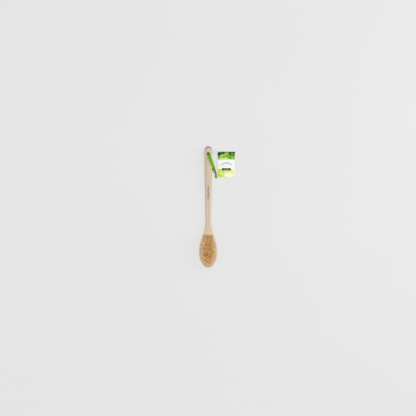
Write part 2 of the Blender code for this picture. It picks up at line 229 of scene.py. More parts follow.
# Printed shapes on the card: thickness, each leaf's step above the last, and places, where _AT and
# _TOP are heights above the card's lower edge
PRINT_DEPTH = 0.02
PRINT_STEP = 0.004
LABEL_DEPTH = 0.03
ARCH_TOP, ARCH_DROP, ARCH_HALF = 46.0, 6.5, 20
GARLAND_AT, UNDER_LEAVES_AT = 43.4, 37.6
LABEL_AT, LABEL_HALF, LABEL_HALF_HEIGHT, LABEL_CORNER = 25.5, 14.8, 3.7, 1.4
DISC_AT, DISC_RADIUS, DISC_PITCH, FIRST_DISC = 12.5, 2.9, 10.9, 13.2

# Light and dark places among the card's blurred leaves: centre and radii in millimetres from the
# card's lower left corner, angle in degrees, gain
LEAF_SPOTS = [
    ((13, 70), (7, 4), 35, 0.42),
    ((5, 77), (7, 6), 0, -0.20),
    ((17, 79), (4, 5), 10, -0.16),
    ((30, 77), (10, 6), 30, 0.14),
    ((42, 78), (3.2, 8), 5, -0.34),
    ((55, 80), (5, 5), 0, -0.28),
    ((55, 66), (5, 12), 0, -0.12),
    ((28, 66), (16, 3.5), 4, 0.14),
    ((46, 68), (6, 4), 0, 0.14),
    ((6, 60), (12, 5), 0, 0.20),
    ((30, 59), (22, 3.5), 0, 0.14),
]

# The printed sprig on the handle
SPRIG_FROM, SPRIG_TO = 224, 269
SPRIG_LEAVES = 9
SPRIG_LEAF_WIDTH, SPRIG_LEAF_ANGLE = 1.9, 36
SPRIG_SUNK, SPRIG_DEPTH = 0.02, 0.05

# Where along the wood its colours fade: the head's warm tint, the painted highlight above the
# bristles, and the darker ends, end grain deepened by painted shade
HEAD_TINT_FADES = (90, 104)
HIGHLIGHT_STARTS, HIGHLIGHT_ENDS = (103, 109), (114, 124)
END_GRAIN_AND_SHADE_STARTS = (372, 388)

# Camera: straight above the brush
VIEW_WIDTH = 1378
VIEW_CENTRE = (-0.7, -3.4)
LENS, SENSOR = 85, 36

# Light: lamps have a power, a size and a place, in metres
FLOOR_GLOW = 0.58
FLOOR_SIZE = 4.0
FLOOR_DROP = 0.2
WORLD_LIGHT = 0.75
KEY_LIGHT = (9, 1.0, (1.7, 0.3, 0.8))
TOP_LIGHT = (8, 1.8, (0.2, 0.1, 2.4))


# ---- shapes shared by several pieces


def ease(t):
    """A smooth step from 0 to 1 with level ends."""
    return (1 - cos(pi * min(max(t, 0.0), 1.0))) / 2


def half_width(s):
    """Half the body's width, in millimetres, at s from the head's tip."""
    if s < HEAD_LENGTH:
        t = (HEAD_LENGTH - s) / HEAD_LENGTH
        return HEAD_HALF_WIDTH * sqrt(max(0.0, 1 - t * t))
    if s < NECK_AT:
        t = (s - HEAD_LENGTH) / (NECK_AT - HEAD_LENGTH)
        return HEAD_HALF_WIDTH + (NECK_HALF_WIDTH - HEAD_HALF_WIDTH) * ease(t)
    if s < GRIP_FULL_AT:
        t = (s - NECK_AT) / (GRIP_FULL_AT - NECK_AT)
        return NECK_HALF_WIDTH + (GRIP_HALF_WIDTH - NECK_HALF_WIDTH) * t**1.2
    t = max(0.0, s - (LENGTH - END_LENGTH)) / END_LENGTH
    return GRIP_HALF_WIDTH * sqrt(max(0.0, 1 - t * t))


def thickness(s):
    """The body's thickness at s."""
    t = (s - THINS_FROM) / (THINS_TO - THINS_FROM)
    return HEAD_THICKNESS + (GRIP_THICKNESS - HEAD_THICKNESS) * ease(t)


def back_height(s):
    """How high the body's back is at s."""
    return LIFT * ease((s - LIFT_FROM) / (LIFT_TO - LIFT_FROM))


def place(x, s, z):
    """The point in metres at x across, s from the head's tip and z up, in millimetres."""
    return Vector((x, s - LENGTH / 2, z)) * MM


def smooth_route(points, spacing):
    """Evenly spaced points on a smooth curve through the given rows, whose first three values are
    the place and whose others, such as a width, change along with it."""
    knots = [np.array(p, float) for p in points]
    knots = [2 * knots[0] - knots[1], *knots, 2 * knots[-1] - knots[-2]]
    fine = []
    for a, b, c, d in zip(knots, knots[1:], knots[2:], knots[3:]):
        for t in np.linspace(0, 1, 24, endpoint=False):
            square = (2 * a - 5 * b + 4 * c - d) * t**2
            cube = (3 * b - a - 3 * c + d) * t**3
            fine.append(b + ((c - a) * t + square + cube) / 2)
    fine.append(knots[-2])
    fine = np.array(fine)
    steps = np.linalg.norm(np.diff(fine[:, :3], axis=0), axis=1)
    run = np.concatenate([[0], np.cumsum(steps)])
    wanted = np.linspace(0, run[-1], max(2, round(run[-1] / spacing)) + 1)
    return np.column_stack([np.interp(wanted, run, column) for column in fine.T])


def directions(centres):
    """The direction of travel at each of a route's points."""
    around = [centres[0], *centres, centres[-1]]
    return [(after - before).normalized() for before, after in zip(around, around[2:])]


def circle(centre, radius, sides):
    """Points of a level circle, in metres."""
    turns = [tau * i / sides for i in range(sides)]
    return [centre + radius * MM * Vector((cos(a), sin(a), 0)) for a in turns]


def add_skin(bm, loops):
    """Faces between each loop of vertices and the next."""
    for low, high in zip(loops, loops[1:]):
        for i in range(len(low)):
            bm.faces.new((low[i - 1], low[i], high[i], high[i - 1]))


def add_rings(bm, rings, closed=False):
    """A skin through rings of equally many points, capped at its ends or closed on itself."""
    loops = [[bm.verts.new(point) for point in ring] for ring in rings]
    add_skin(bm, loops + loops[:1] if closed else loops)
    if not closed:
        bm.faces.new(loops[0])
        bm.faces.new(loops[-1])


def set_uv(bm, layer, uv_of):
    """Give every face corner the uv of its vertex."""
    for face in bm.faces:
        for loop in face.loops:
            loop[layer].uv = uv_of(loop.vert)


def add_object(name, bm, *materials, sharp=35):
    """A smooth-shaded scene object from a bmesh in the row frame."""
    bmesh.ops.recalc_face_normals(bm, faces=bm.faces)
    mesh = bpy.data.meshes.new(name)
    bm.to_mesh(mesh)
    bm.free()
    for made in materials:
        mesh.materials.append(made)
    mesh.shade_smooth()
    mesh.set_sharp_from_angle(angle=radians(sharp))
    return add_to_scene(name, mesh)


def add_to_scene(name, data):
    """A scene object for a mesh, a camera or a lamp."""
    made = bpy.data.objects.new(name, data)
    bpy.context.scene.collection.objects.link(made)
    return made


def cut(target, tool):
    """Cut the tool out of the target and remove the tool."""
    step = target.modifiers.new("cut", "BOOLEAN")
    step.operation = "DIFFERENCE"
    step.solver = "EXACT"
    step.object = tool
    bpy.context.view_layer.update()
    seen = target.evaluated_get(bpy.context.evaluated_depsgraph_get())
    mesh = bpy.data.meshes.new_from_object(seen)
    target.modifiers.remove(step)
    target.data = mesh
    bpy.data.objects.remove(tool)


# ---- materials


class Nodes:
    """One material's node tree, built with a short call for each node."""

    def __init__(self, name, roughness=0.5):
        self.material = bpy.data.materials.new(name)
        self.material.use_nodes = True
        self.tree = self.material.node_tree
        self.shader = self.tree.nodes["Principled BSDF"]
        self.shader.inputs["Roughness"].default_value = roughness

    def feed(self, socket, value):
        """Link a node's output to a socket, or set the socket to a constant."""
        if isinstance(value, bpy.types.NodeSocket):
            self.tree.links.new(value, socket)
        else:
            socket.default_value = value

    def node(self, kind, inputs=(), **settings):
        """A node with its settings, and its inputs by name or number."""
        made = self.tree.nodes.new(kind)
        for key, value in settings.items():
            setattr(made, key, value)
        for key, value in dict(inputs).items():
            self.feed(made.inputs[key], value)
        return made

    def coordinates(self, kind="Object"):
        return self.node("ShaderNodeTexCoord").outputs[kind]

    def uv(self, name):
        return self.node("ShaderNodeUVMap", uv_map=name).outputs["UV"]

    def attribute(self, name):
        return self.node("ShaderNodeAttribute", attribute_name=name).outputs["Fac"]

    def stretch(self, vector, scale, move=(0, 0, 0)):
        inputs = {"Vector": vector, "Scale": scale, "Location": move}
        return self.node("ShaderNodeMapping", inputs).outputs["Vector"]

    def axes(self, vector):
        return self.node("ShaderNodeSeparateXYZ", {"Vector": vector}).outputs

    def grain(self, scale, detail=3.0, roughness=0.5):
        """Noise in the object's own coordinates, stretched along the three axes."""
        return self.noise(self.stretch(self.coordinates(), scale), detail, roughness)

    def noise(self, vector, detail=3.0, roughness=0.5):
        inputs = {"Vector": vector, "Scale": 1.0, "Detail": detail, "Roughness": roughness}
        return self.node("ShaderNodeTexNoise", inputs).outputs["Fac"]

    def cells(self, vector, feature="F1"):
        inputs = {"Vector": vector, "Scale": 1.0}
        return self.node("ShaderNodeTexVoronoi", inputs, feature=feature).outputs["Distance"]

    def math(self, operation, a, b=0.0):
        return self.node("ShaderNodeMath", {0: a, 1: b}, operation=operation).outputs[0]

    def mul(self, a, b):
        return self.math("MULTIPLY", a, b)

    def add(self, a, b):
        return self.math("ADD", a, b)

    def wave(self, value, length):
        """The absolute value of a sine, with a peak in every length."""
        turn = self.mul(value, pi / length)
        return self.math("ABSOLUTE", self.math("SINE", turn))

    def scale(self, value, low, high, to_low=0.0, to_high=1.0):
        """A value's range low to high, smoothly stepped to another range."""
        inputs = {0: value, 1: low, 2: high, 3: to_low, 4: to_high}
        made = self.node("ShaderNodeMapRange", inputs, interpolation_type="SMOOTHSTEP")
        return made.outputs[0]

    def ramp(self, value, *stops):
        """A colour ramp from stops of (position, colour)."""
        made = self.node("ShaderNodeValToRGB", {"Fac": value})
        elements = made.color_ramp.elements
        while len(elements) < len(stops):
            elements.new(0.5)
        for element, (position, colour) in zip(elements, stops):
            element.position = position
            element.color = linear(colour)
        return made.outputs["Color"]

    def band(self, y, places, to_low=0.0, to_high=1.0):
        """A step from one value to another between two places, given as s, along the brush."""
        low, high = [(s - LENGTH / 2) * MM for s in places]
        return self.scale(y, low, high, to_low, to_high)

    def mix(self, factor, a, b):
        made = self.node("ShaderNodeMix", data_type="RGBA")
        for i, value in zip((0, 6, 7), (factor, a, b)):
            self.feed(made.inputs[i], linear(value) if isinstance(value, str) else value)
        return made.outputs[2]

    def spot(self, u, v, centre, radii, angle):
        """1 at a place in the u, v plane, given in millimetres, fading to 0 on a turned ellipse."""
        c, s = cos(radians(angle)), sin(radians(angle))
        du = self.math("SUBTRACT", u, centre[0] * MM)
        dv = self.math("SUBTRACT", v, centre[1] * MM)
        squares = []
        for (a, b), radius in zip(((c, s), (-s, c)), radii):
            along = self.add(self.mul(du, a), self.mul(dv, b))
            squares.append(self.math("POWER", self.mul(along, 1 / (radius * MM)), 2.0))
        return self.scale(self.add(*squares), 0.0, 1.0, 1.0, 0.0)

    def bump(self, height, distance, strength):
        inputs = {"Height": height, "Distance": distance, "Strength": strength}
        self.feed(self.shader.inputs["Normal"], self.node("ShaderNodeBump", inputs).outputs[0])

    def finish(self, colour, **sockets):
        """Set the shader's colour and its other sockets, named with _ for a space."""
        self.feed(self.shader.inputs["Base Color"], colour)
        for name, value in sockets.items():
            self.feed(self.shader.inputs[name.replace("_", " ")], value)
        return self.material


def linear(hex_colour):
    """A linear RGBA colour from an sRGB hex string."""
    parts = [int(hex_colour[i : i + 2], 16) / 255 for i in (1, 3, 5)]
    return (*[p / 12.92 if p <= 0.04045 else ((p + 0.055) / 1.055) ** 2.4 for p in parts], 1.0)


def wood_material():
    """Pale straight-grained wood: faint strips, short flecks, a painted highlight above the
    bristles, darker ends (end grain deepened into painted shade), a satin finish.
    """
    n = Nodes("pale_wood")
    here = n.coordinates()
    wander = n.noise(n.stretch(here, (30, 6, 30)), detail=2)
    x, y, z = n.axes(here)
    across = n.add(n.mul(x, 210), n.mul(z, 60))
    across = n.add(across, n.mul(wander, 3.0))
    strips = n.node("ShaderNodeCombineXYZ", {0: across, 1: n.mul(y, 4)}).outputs[0]
    figure = n.noise(strips)
    grain = n.noise(n.stretch(here, (1500, 30, 1500)), detail=4, roughness=0.65)
    pores = n.noise(n.stretch(here, (3200, 90, 3200), (3, 7, 1)), detail=2)
    flecks = n.cells(n.stretch(here, (900, 150, 900)))
    colour = n.ramp(figure, (0.30, "#c6b096"), (0.50, "#d8c4ab"), (0.70, "#e2d3bd"))
    colour = n.mix(n.scale(grain, 0.35, 0.75, 0.0, 0.35), colour, "#bda283")
    colour = n.mix(n.scale(pores, 0.62, 0.75, 0.0, 0.45), colour, "#a48868")
    colour = n.mix(n.scale(flecks, 0.10, 0.22, 0.30, 0.0), colour, "#b09272")
    colour = n.mix(n.band(y, HEAD_TINT_FADES, 0.4, 0.0), colour, "#d2ad72")
    _, facing, upward = n.axes(n.coordinates("Normal"))
    # Painted highlight: the upward faces above the bristles are painted paler.
    painted_highlight = n.mul(n.band(y, HIGHLIGHT_STARTS), n.band(y, HIGHLIGHT_ENDS, 1.0, 0.0))
    painted_highlight = n.mul(painted_highlight, n.scale(upward, 0.45, 0.95, 0.0, 0.65))
    colour = n.mix(painted_highlight, colour, "#f3e2c4")
    # The faces that turn towards either end are painted darker: the darker tone of end grain,
    # deepened into painted shade on the rounded ends.
    near_end = n.band(y, END_GRAIN_AND_SHADE_STARTS, 0.0, 0.95)
    handle_end_grain_and_shade = n.mul(n.scale(facing, 0.04, 0.50), near_end)
    handle_end_grain_and_shade = n.mul(handle_end_grain_and_shade, n.scale(pores, 0.40, 0.65, 1.0, 0.70))
    head_tip_grain_and_shade = n.scale(facing, -0.30, -0.90, 0.0, 0.30)
    colour = n.mix(n.add(handle_end_grain_and_shade, head_tip_grain_and_shade), colour, "#63574a")
    n.bump(n.add(grain, n.mul(pores, 0.6)), 0.00006, 0.5)
    rough = n.scale(grain, 0.3, 0.7, 0.42, 0.58)
    return n.finish(colour, Roughness=rough, Coat_Weight=0.12, Coat_Roughness=0.35)


def fibre_material():
    """Golden plant fibre: each fibre has its own tone, and a painted highlight makes the outer
    fibres and the tips paler.
    """
    n = Nodes("plant_fibre")
    tone = n.attribute("tone")
    height = n.attribute("height")
    speckle = n.grain((2500, 2500, 500), detail=2)
    tone = n.add(tone, n.mul(n.math("SUBTRACT", speckle, 0.5), 0.5))
    colour = n.ramp(tone, (0.0, "#d28634"), (0.3, "#f0aa52"), (0.65, "#ffcf88"), (1.0, "#fff0cc"))
    colour = n.mix(n.scale(height, 0.75, 0.95, 0.35, 0.0), colour, "#d9ae74")
    # Painted highlight: the top of each fibre is painted paler.
    colour = n.mix(n.scale(height, 0.9, 1.0, 0.0, 0.2), colour, "#ffe4ac")
    return n.finish(
        colour,
        Roughness=n.scale(speckle, 0.3, 0.7, 0.5, 0.75),
        Specular_IOR_Level=0.3,
        Sheen_Weight=0.5,
        Sheen_Roughness=0.5,
        Sheen_Tint=linear("#ffd9a0"),
    )


def ribbon_material():
    """Bright green woven ribbon: fine cross ribs with painted shade between them and a firm
    selvedge, and painted shade near the handle's hole and from a little above the knot on, for the
    shade of its folds."""
    n = Nodes("green_ribbon")
    u, v, _ = n.axes(n.uv("weave"))
    warp = n.add(n.mul(n.wave(v, 0.30 * MM), 0.5), 0.5)
    weave = n.mul(n.wave(u, 0.55 * MM), warp)
    edge = n.scale(n.math("ABSOLUTE", v), 4.1 * MM, 4.8 * MM)
    uneven = n.grain((260, 260, 260), detail=4)
    colour = n.ramp(uneven, (0.25, "#63a200"), (0.5, "#7cbc00"), (0.75, "#96d400"))
    # Painted shade: the low places between the ribs are painted darker.
    colour = n.mix(n.scale(weave, 0.0, 0.8, 0.5, 0.0), colour, "#427a00")
    colour = n.mix(n.mul(edge, 0.35), colour, "#569600")
    y = n.axes(n.coordinates())[1]
    from_hole = n.math("SUBTRACT", (LOOP_HOLE_AT - LENGTH / 2) * MM, y)
    # Painted shade: the ribbon is painted darker near the handle's hole and past it.
    colour = n.mix(n.scale(from_hole, 2 * MM, 10 * MM, 0.65, 0.0), colour, "#2d5600")
    # Painted shade: from a little above the knot on, the ribbon, its knot and its ends are painted
    # darker.
    colour = n.mix(n.scale(from_hole, 44 * MM, 54 * MM, 0.0, 0.45), colour, "#3c7200")
    n.bump(weave, 0.00015, 0.7)
    rough = n.scale(uneven, 0.3, 0.7, 0.5, 0.65)
    return n.finish(colour, Roughness=rough, Specular_IOR_Level=0.05)


def string_material():
    """White twisted thread with fine fibres along each ply."""
    n = Nodes("white_string")
    fuzz = n.grain((2600, 2600, 2600), detail=3)
    colour = n.ramp(fuzz, (0.3, "#b9b8b0"), (0.6, "#dcdbd5"), (0.8, "#efeeea"))
    n.bump(fuzz, 0.0001, 0.6)
    return n.finish(colour, Roughness=n.scale(fuzz, 0.3, 0.7, 0.7, 0.9))


def wire_material():
    """Flat steel wire of the tufts' anchors, with drawing marks along it."""
    n = Nodes("anchor_wire", 0.35)
    marks = n.grain((400, 4000, 4000), detail=3)
    colour = n.ramp(marks, (0.3, "#8d8f92"), (0.7, "#c3c5c8"))
    return n.finish(colour, Metallic=1.0, Roughness=n.scale(marks, 0.3, 0.7, 0.28, 0.45))


def sprig_material():
    """Grey-brown printed ink that lets a little of the grain through."""
    n = Nodes("brown_ink")
    worn = n.grain((1400, 120, 1400), detail=4)
    colour = n.ramp(worn, (0.35, "#7f7364"), (0.65, "#978a79"))
    return n.finish(colour, Roughness=n.scale(worn, 0.3, 0.7, 0.5, 0.75))


def card_paper():
    """The card's plain back and edges."""
    n = Nodes("card_paper")
    fibres = n.grain((900, 900, 900), detail=5, roughness=0.7)
    colour = n.ramp(fibres, (0.3, "#e4e3dc"), (0.7, "#f3f2ee"))
    n.bump(fibres, 0.00003, 0.4)
    return n.finish(colour, Roughness=n.scale(fibres, 0.3, 0.7, 0.65, 0.8))


def card_print():
    """The card's front: out-of-focus leaves, a white panel and sunlit yellow-green below."""
    n = Nodes("card_print")
    art = n.uv("art")
    u, v, _ = n.axes(art)
    blur = n.noise(n.stretch(art, (70, 95, 1), (1.3, 0.4, 0)), detail=3, roughness=0.55)
    blobs = n.cells(n.stretch(art, (120, 120, 1), (0.3, 0.1, 0)), feature="SMOOTH_F1")
    small = n.noise(n.stretch(art, (260, 200, 1)), detail=2)

    depth = n.mul(v, 1 / (TAG_HEIGHT * MM))
    leafy = n.add(n.mul(blur, 1.1), n.mul(blobs, 0.35))
    leafy = n.add(leafy, n.mul(n.math("SUBTRACT", small, 0.5), 0.25))
    leafy = n.add(leafy, n.scale(depth, 0.68, 0.98, 0.05, -0.22))
    for centre, radii, angle, gain in LEAF_SPOTS:
        leafy = n.add(leafy, n.mul(n.spot(u, v, centre, radii, angle), gain))
    shades = (0.26, "#143f1c"), (0.42, "#2f6826"), (0.56, "#588f35")
    leaves = n.ramp(leafy, *shades, (0.70, "#8fbe3e"), (0.90, "#d3ee8c"))
    sun = n.add(n.mul(blur, 0.75), n.mul(small, 0.25))
    sun = n.add(sun, n.mul(u, 4.0))
    sun = n.add(sun, n.mul(n.spot(u, v, (36, 6), (18, 9), 0), 0.25))
    shades = (0.36, "#b0c92e"), (0.50, "#c6df4c"), (0.64, "#e4ef8c")
    meadow = n.ramp(sun, *shades, (0.78, "#fffdd2"))
    tooth = n.grain((1200, 1200, 1200), detail=3)
    white = n.ramp(tooth, (0.3, "#f7f9f7"), (0.7, "#ffffff"))

    soft = 0.002
    above = n.scale(depth, PANEL_TOP - soft, PANEL_TOP + soft)
    below = n.scale(depth, PANEL_BOTTOM - soft, PANEL_BOTTOM + soft, 1.0, 0.0)
    colour = n.mix(above, white, leaves)
    colour = n.mix(below, colour, meadow)
    n.bump(tooth, 0.00001, 0.3)
    rough = n.scale(tooth, 0.3, 0.7, 0.5, 0.6)
    return n.finish(colour, Roughness=rough, Specular_IOR_Level=0.1)


def ink_material(name, dark, light):
    """A solid printed ink with slight mottling."""
    n = Nodes(name)
    mottle = n.grain((700, 700, 700), detail=3)
    colour = n.ramp(mottle, (0.3, dark), (0.7, light))
    rough = n.scale(mottle, 0.3, 0.7, 0.45, 0.6)
    return n.finish(colour, Roughness=rough, Specular_IOR_Level=0.15)


def floor_material():
    """Plain pale floor, lit a little from within so that shadows stay faint. The glow stands in
    for daylight on an open floor, so it fades under the brush."""
    n = Nodes("pale_floor", 0.9)
    shade = n.grain((3, 3, 3), detail=2)
    covered = n.node("ShaderNodeAmbientOcclusion", {"Distance": 0.03}, samples=8).outputs["AO"]
    return n.finish(
        n.ramp(shade, (0.2, "#828282"), (0.8, "#848484")),
        Specular_IOR_Level=0.0,
        Emission_Color=(1.0, 1.0, 1.0, 1.0),
        Emission_Strength=n.scale(covered, 0.20, 0.50, 0.0, FLOOR_GLOW),
    )


# ---- wooden body


def outline():
    """The right half of the body's outline as points (x, s), from the head's tip to the end."""
    tip = [HEAD_LENGTH * (1 - cos(radians(a))) for a in range(0, 90, 3)]
    neck = np.linspace(HEAD_LENGTH, NECK_AT, 36, endpoint=False)
    grip = np.linspace(NECK_AT, GRIP_FULL_AT, 60)
    end = [LENGTH - END_LENGTH * (1 - sin(radians(a))) for a in range(0, 91, 5)]
    return [Vector((half_width(s), s)) for s in [*tip, *neck, *grip, *end]]


def inset(points, amount):
    """The half outline moved inwards by amount, with its two end points kept on the axis."""
    moved = []
    for i, point in enumerate(points):
        before = points[i - 1] if i else Vector((-points[1].x, points[1].y))
        after = points[i + 1] if i + 1 < len(points) else Vector((-points[-2].x, points[-2].y))
        along = (after - before).normalized()
        moved.append(point + amount * Vector((-along.y, along.x)))
    return moved


def tufts():
    """Each row's tufts, as pairs of (x, s) for the hole and for the tips. A row's tufts are evenly
    spread between the rims, odd and even in number by turns so that neighbouring rows interlock."""
    middle = FIRST_ROW_AT + ROW_PITCH * (ROWS - 1) / 2
    rows = []
    for row in range(ROWS):
        s = FIRST_ROW_AT + ROW_PITCH * row
        rim = RIM_AT_TIP + (RIM_AT_NECK - RIM_AT_TIP) * ease(row / (ROWS - 1) * 2 - 1)
        slope = (half_width(s + 1) - half_width(s - 1)) / 2
        room = half_width(s) - (rim + TUFT_TIP_RADIUS) * hypot(1, slope)
        room -= 0 if row else FIRST_ROW_DRAWN_IN
        fits = [n for n in range(3, 12) if TUFT_PITCH_MIN <= 2 * room / (n - 1) <= TUFT_PITCH_MAX]
        count = next((n for n in fits if (n + row) % 2), fits[0])
        hole_s = middle + (s - middle) * ROWS_DRAWN_IN
        places = [room * (2 * i / (count - 1) - 1) for i in range(count)]
        rows.append([((x * TUFTS_DRAWN_IN, hole_s), (x, s)) for x in places])
    return rows


def wood_body(rows, material):
    """The head and handle with a finely rounded edge, drilled for the tufts and the ribbon."""
    right = outline()
    last = len(right) - 1
    bm = bmesh.new()
    layers = []
    for angle in range(-90, 91, 6):
        a = radians(angle)
        half = inset(right, EDGE_ROUNDING * (1 - cos(a)))
        layer = []
        for point in half + [Vector((-p.x, p.y)) for p in half[-2:0:-1]]:
            z = back_height(point.y) + thickness(point.y) * (1 + sin(a)) / 2
            layer.append(bm.verts.new(place(point.x, point.y, z)))
        layers.append(layer)
    add_skin(bm, layers)
    for layer in (layers[0], layers[-1]):
        bm.faces.new((layer[0], layer[1], layer[-1]))
        for i in range(1, last - 1):
            bm.faces.new((layer[i], layer[i + 1], layer[-i - 1], layer[-i]))
        bm.faces.new((layer[last - 1], layer[last], layer[last + 1]))
    body = add_object("wood_body", bm, material)
    cut(body, tuft_holes(rows))
    cut(body, loop_hole())
    body.data.set_sharp_from_angle(angle=radians(30))
    return body


def tuft_holes(rows):
    """A drill's shape for each tuft: a pointed bottom, a straight wall and a broken top edge."""
    floor, face = HEAD_THICKNESS - TUFT_HOLE_DEPTH, HEAD_THICKNESS
    profile = [
        (0.3, floor - 0.5),
        (TUFT_HOLE_RADIUS, floor + 0.3),
        (TUFT_HOLE_RADIUS, face - 0.2),
        (TUFT_HOLE_RADIUS + 0.24, face + 0.04),
    ]
    bm = bmesh.new()
    for row in rows:
        for (x, s), _ in row:
            add_rings(bm, [circle(place(x, s, z), radius, 20) for radius, z in profile])
    return add_object("tuft_holes", bm)


def loop_hole():
    """A shaft through the handle with a rounded lip at both faces."""
    back = back_height(LOOP_HOLE_AT)
    front = back + thickness(LOOP_HOLE_AT)
    lip = []
    for angle in range(0, 91, 15):
        a = radians(angle)
        flare = LOOP_HOLE_RADIUS + LOOP_HOLE_CHAMFER * (1 - cos(a))
        lip.append((flare, LOOP_HOLE_CHAMFER * (1 - sin(a))))
    wide = LOOP_HOLE_RADIUS + LOOP_HOLE_CHAMFER
    profile = [(wide, back - 1), *[(r, back + z) for r, z in reversed(lip)]]
    profile += [*[(r, front - z) for r, z in lip], (wide, front + 1)]
    bm = bmesh.new()
    add_rings(bm, [circle(place(0, LOOP_HOLE_AT, z), radius, 48) for radius, z in profile])
    return add_object("loop_hole", bm)


# ---- bristles


def fibre_shapes(number, row, rng):
    """Each fibre's ring points, bundled in its hole and splaying to a trimmed tip, and its tone,
    which holds a painted highlight on the outer fibres and the end rows.
    """

    def shared(values):
        return np.repeat(values, FIBRES_IN_TUFT, axis=0)

    count = FIBRES_IN_TUFT * len(row)
    holes = shared([hole for hole, _ in row])
    tips = shared([tip for _, tip in row])
    turn = rng.uniform(0, tau, count)
    out = np.sqrt(rng.uniform(0, 1, count))
    astray = rng.uniform(0, 1, count) < STRAY_SHARE
    stray = np.where(astray, rng.uniform(1.0, STRAY_REACH, count), 1.0)
    around = np.column_stack([np.cos(turn), np.sin(turn)])
    root = holes + around * (out * (TUFT_ROOT_RADIUS - FIBRE_RADIUS))[:, None]
    spread = (TUFT_TIP_RADIUS + TIP_SPREAD) * out * stray
    lean = shared(rng.normal(0, TUFT_LEAN, (len(row), 2)))
    end = tips + lean + around * spread[:, None] + rng.normal(0, FIBRE_LEAN, (count, 2))
    bend = rng.normal(0, FIBRE_BEND, (count, 2))
    trim = rng.normal(0, FIBRE_TRIM, count) + shared(rng.normal(0, TUFT_TRIM, len(row)))
    tone = rng.normal(MEAN_TONE, FIBRE_TONE, count)
    tone += shared(rng.normal(0, TUFT_TONE, len(row)))
    # Painted highlight: fibres towards a row's ends, and all of the first and last rows, are
    # painted paler.
    outer_highlight = (np.abs(tips[:, 0]) / abs(row[0][1][0])) ** OUTER_HIGHLIGHT_POWER
    tone += OUTER_HIGHLIGHT * np.maximum(outer_highlight, END_ROW_HIGHLIGHT if number in (1, ROWS) else 0.0)
    twist = rng.uniform(0, tau, count)

    rings = []
    for level in FIBRE_LEVELS:
        t = max(0.0, level) / BRISTLE_HEIGHT
        centre = root + (end - root) * t**SPLAY_POWER + bend * sin(pi * t)
        height = HEAD_THICKNESS + level + trim * t
        radius = FIBRE_RADIUS + (FIBRE_TIP_RADIUS - FIBRE_RADIUS) * t
        for side in range(FIBRE_SIDES):
            a = twist + tau * side / FIBRE_SIDES
            x = centre[:, 0] + radius * np.cos(a)
            y = centre[:, 1] + radius * np.sin(a) - LENGTH / 2
            rings.append(np.column_stack([x, y, height]) * MM)
    return np.stack(rings, axis=1), tone


def fibre_row(number, row, rng, material):
    """One row of tufts as separate closed fibres, each with its tone and its height up the tuft."""
    points, tone = fibre_shapes(number, row, rng)
    count, per_fibre = points.shape[:2]
    top = per_fibre - FIBRE_SIDES
    pattern = []
    for low in range(0, top, FIBRE_SIDES):
        for side in range(FIBRE_SIDES):
            a, b = low + side, low + (side + 1) % FIBRE_SIDES
            pattern.append((a, b, b + FIBRE_SIDES, a + FIBRE_SIDES))
    pattern += [(2, 1, 0), (top, top + 1, top + 2)]
    faces = [tuple(i * per_fibre + k for k in face) for i in range(count) for face in pattern]

    mesh = bpy.data.meshes.new(f"fibres_row_{number:02d}")
    mesh.from_pydata(points.reshape(-1, 3).tolist(), [], faces)
    up = np.repeat(np.clip(FIBRE_LEVELS, 0, None) / BRISTLE_HEIGHT, FIBRE_SIDES)
    for name, values in (("tone", np.repeat(tone, per_fibre)), ("height", np.tile(up, count))):
        mesh.attributes.new(name, "FLOAT", "POINT").data.foreach_set("value", values)
    mesh.materials.append(material)
    mesh.shade_smooth()
    mesh.set_sharp_from_angle(angle=radians(80))
    return add_to_scene(mesh.name, mesh)


def anchor_wires(rows, material):
    """The short flat wire that pins each folded tuft across its hole: a shallow staple."""
    wide, thin = ANCHOR_HALF_WIDTH, ANCHOR_HALF_THICKNESS
    corners = ((-wide, -thin), (wide, -thin), (wide, thin), (-wide, thin))
    base = HEAD_THICKNESS - TUFT_HOLE_DEPTH + ANCHOR_ABOVE_FLOOR
    bm = bmesh.new()
    for row in rows:
        for (x, s), _ in row:
            rings = []
            for across, up in ANCHOR_PROFILE:
                rings.append([place(x + across, s + a, base + up + b) for a, b in corners])
            add_rings(bm, rings)
    return add_object("anchor_wires", bm, material)


# ---- ribbon and knot


def ribbon_strip(name, centres, sides, sections, material, taper=0.0):
    """A woven strip with real thickness, ribs and pleats. Each station has a centre, the way its
    width lies, and a section of width, arch and pleats; taper slants the cut far end."""
    across = np.linspace(-1, 1, RIBBON_POINTS_ACROSS)
    run = np.concatenate([[0], np.cumsum([(b - a).length for a, b in zip(centres, centres[1:])])])
    bm = bmesh.new()
    weave = bm.loops.layers.uv.new("weave")
    loops, flat = [], {}
    stations = zip(centres, directions(centres), sides, sections, run)
    for centre, along, side, (width, arch, pleat), at in stations:
        up = side.cross(along).normalized()
        rib = RIBBON_RIB / 2 * cos(tau * at / (RIBBON_RIB_PITCH * MM))
        slant = taper if at == run[-1] else 0.0
        ring = []
        for face, order in ((1, across), (-1, across[::-1])):
            for v in order:
                hem = RIBBON_HEM if abs(v) > RIBBON_HEM_FROM else 0.0
                rise = arch * (1 - v * v) + pleat * cos(PLEATS * pi * v)
                half = RIBBON_THICKNESS / 2 * (1 - 0.6 * abs(v) ** 8) + rib + hem
                point = centre + side * (v * width / 2 * MM) + up * ((rise + face * half) * MM)
                vert = bm.verts.new(point + along * (slant * v * MM))
                flat[vert] = (at, v * RIBBON_WIDTH / 2 * MM)
                ring.append(vert)
        loops.append(ring)
    add_skin(bm, loops)
    for ring in (loops[0], loops[-1]):
        for i in range(len(across) - 1):
            bm.faces.new((ring[i], ring[i + 1], ring[-i - 2], ring[-i - 1]))
    set_uv(bm, weave, lambda vert: flat[vert])
    return add_object(name, bm, material, sharp=50)


